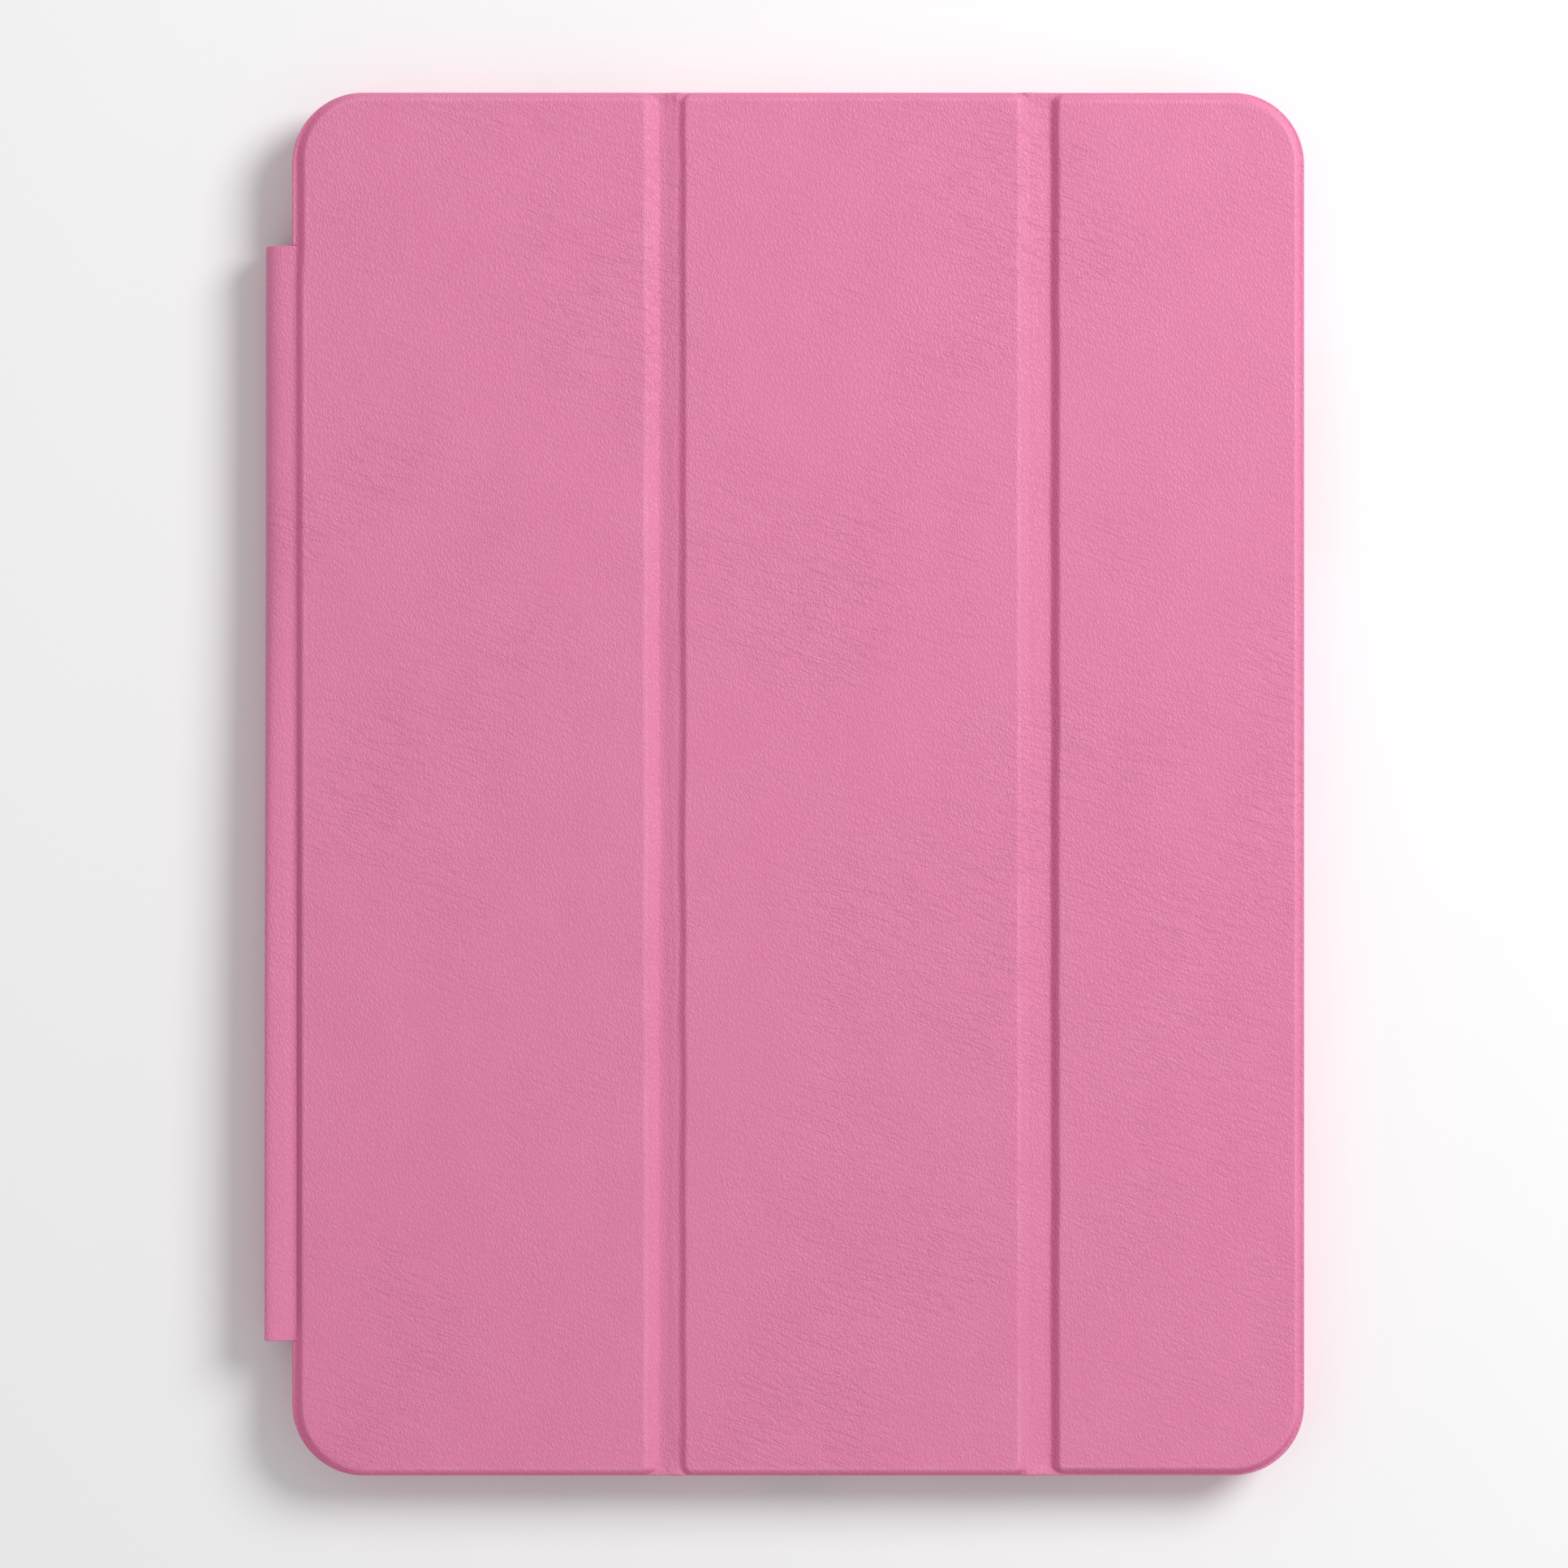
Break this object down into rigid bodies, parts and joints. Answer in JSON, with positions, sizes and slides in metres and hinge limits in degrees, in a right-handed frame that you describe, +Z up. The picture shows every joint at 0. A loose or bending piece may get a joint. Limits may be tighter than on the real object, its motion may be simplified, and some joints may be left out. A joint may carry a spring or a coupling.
{
  "type": "tri-fold tablet case",
  "caption": "Folding leather case for a tablet: a hard tray holds the tablet, a soft spine joins it to a stiff-panelled cover that folds into a triangular stand.",
  "frame": {"origin": "middle of the closed case's footprint, on the surface that it lies on with the cover up", "axes": "+X across the case from the spine to the free edge, +Y along the spine, +Z up through the cover"},
  "size_m": [0.1898, 0.2522, 0.0116],
  "materials": {
    "leather": "semi-matte, fine pebbled grain",
    "microfibre": "short soft nap",
    "tray_moulding": "fine matte texture",
    "stiffener_board": "plain",
    "magnet": "nickel plated"
  },
  "bodies": {
    "tray": {"tray_floor": "tray_moulding", "tray_corners": "tray_moulding", "tray_side_rails": "tray_moulding", "tray_end_rails": "tray_moulding", "back_skin": "leather", "side_skin": "leather", "tray_lining": "microfibre"},
    "spine_lower": {"tray_root_skin": "leather", "tray_root_lining": "microfibre", "spine_lower_skin": "leather", "spine_lower_lining": "microfibre"},
    "spine_upper": {"spine_bend_skin": "leather", "spine_bend_lining": "microfibre", "spine_upper_skin": "leather", "spine_upper_lining": "microfibre"},
    "panel_1": {"cover_root_skin": "leather", "cover_root_lining": "microfibre", "panel_1_skin": "leather", "panel_1_board": "stiffener_board", "panel_1_lining": "microfibre", "stand_magnets": "magnet"},
    "panel_2": {"fold_1_skin": "leather", "fold_1_lining": "microfibre", "panel_2_skin": "leather", "panel_2_board": "stiffener_board", "panel_2_lining": "microfibre"},
    "panel_3": {"fold_2_skin": "leather", "fold_2_lining": "microfibre", "panel_3_skin": "leather", "panel_3_board": "stiffener_board", "panel_3_lining": "microfibre", "closure_magnets": "magnet", "wake_magnet": "magnet"}
  },
  "joints": [
    {"name": "tray_hinge", "type": "hinge", "parent": "tray", "child": "spine_lower", "pos_m": [-0.0909, 0, 0.00091], "axis": [0, -1, 0], "range_deg": [0, 125], "deforming": ["tray_root_skin", "tray_root_lining"]},
    {"name": "spine_bend", "type": "hinge", "parent": "spine_lower", "child": "spine_upper", "pos_m": [-0.09435, 0, 0.0054], "axis": [0, -1, 0], "range_deg": [0, 60], "deforming": ["spine_bend_skin", "spine_bend_lining"]},
    {"name": "cover_hinge", "type": "hinge", "parent": "spine_upper", "child": "panel_1", "pos_m": [-0.0909, 0, 0.00989], "axis": [0, -1, 0], "range_deg": [0, 118], "deforming": ["cover_root_skin", "cover_root_lining"]},
    {"name": "fold_1", "type": "hinge", "parent": "panel_1", "child": "panel_2", "pos_m": [-0.0212, 0, 0.01025], "axis": [0, -1, 0], "range_deg": [0, 135], "deforming": ["fold_1_skin", "fold_1_lining"]},
    {"name": "fold_2", "type": "hinge", "parent": "panel_2", "child": "panel_3", "pos_m": [0.0465, 0, 0.01025], "axis": [0, -1, 0], "range_deg": [0, 116], "deforming": ["fold_2_skin", "fold_2_lining"]}
  ]
}
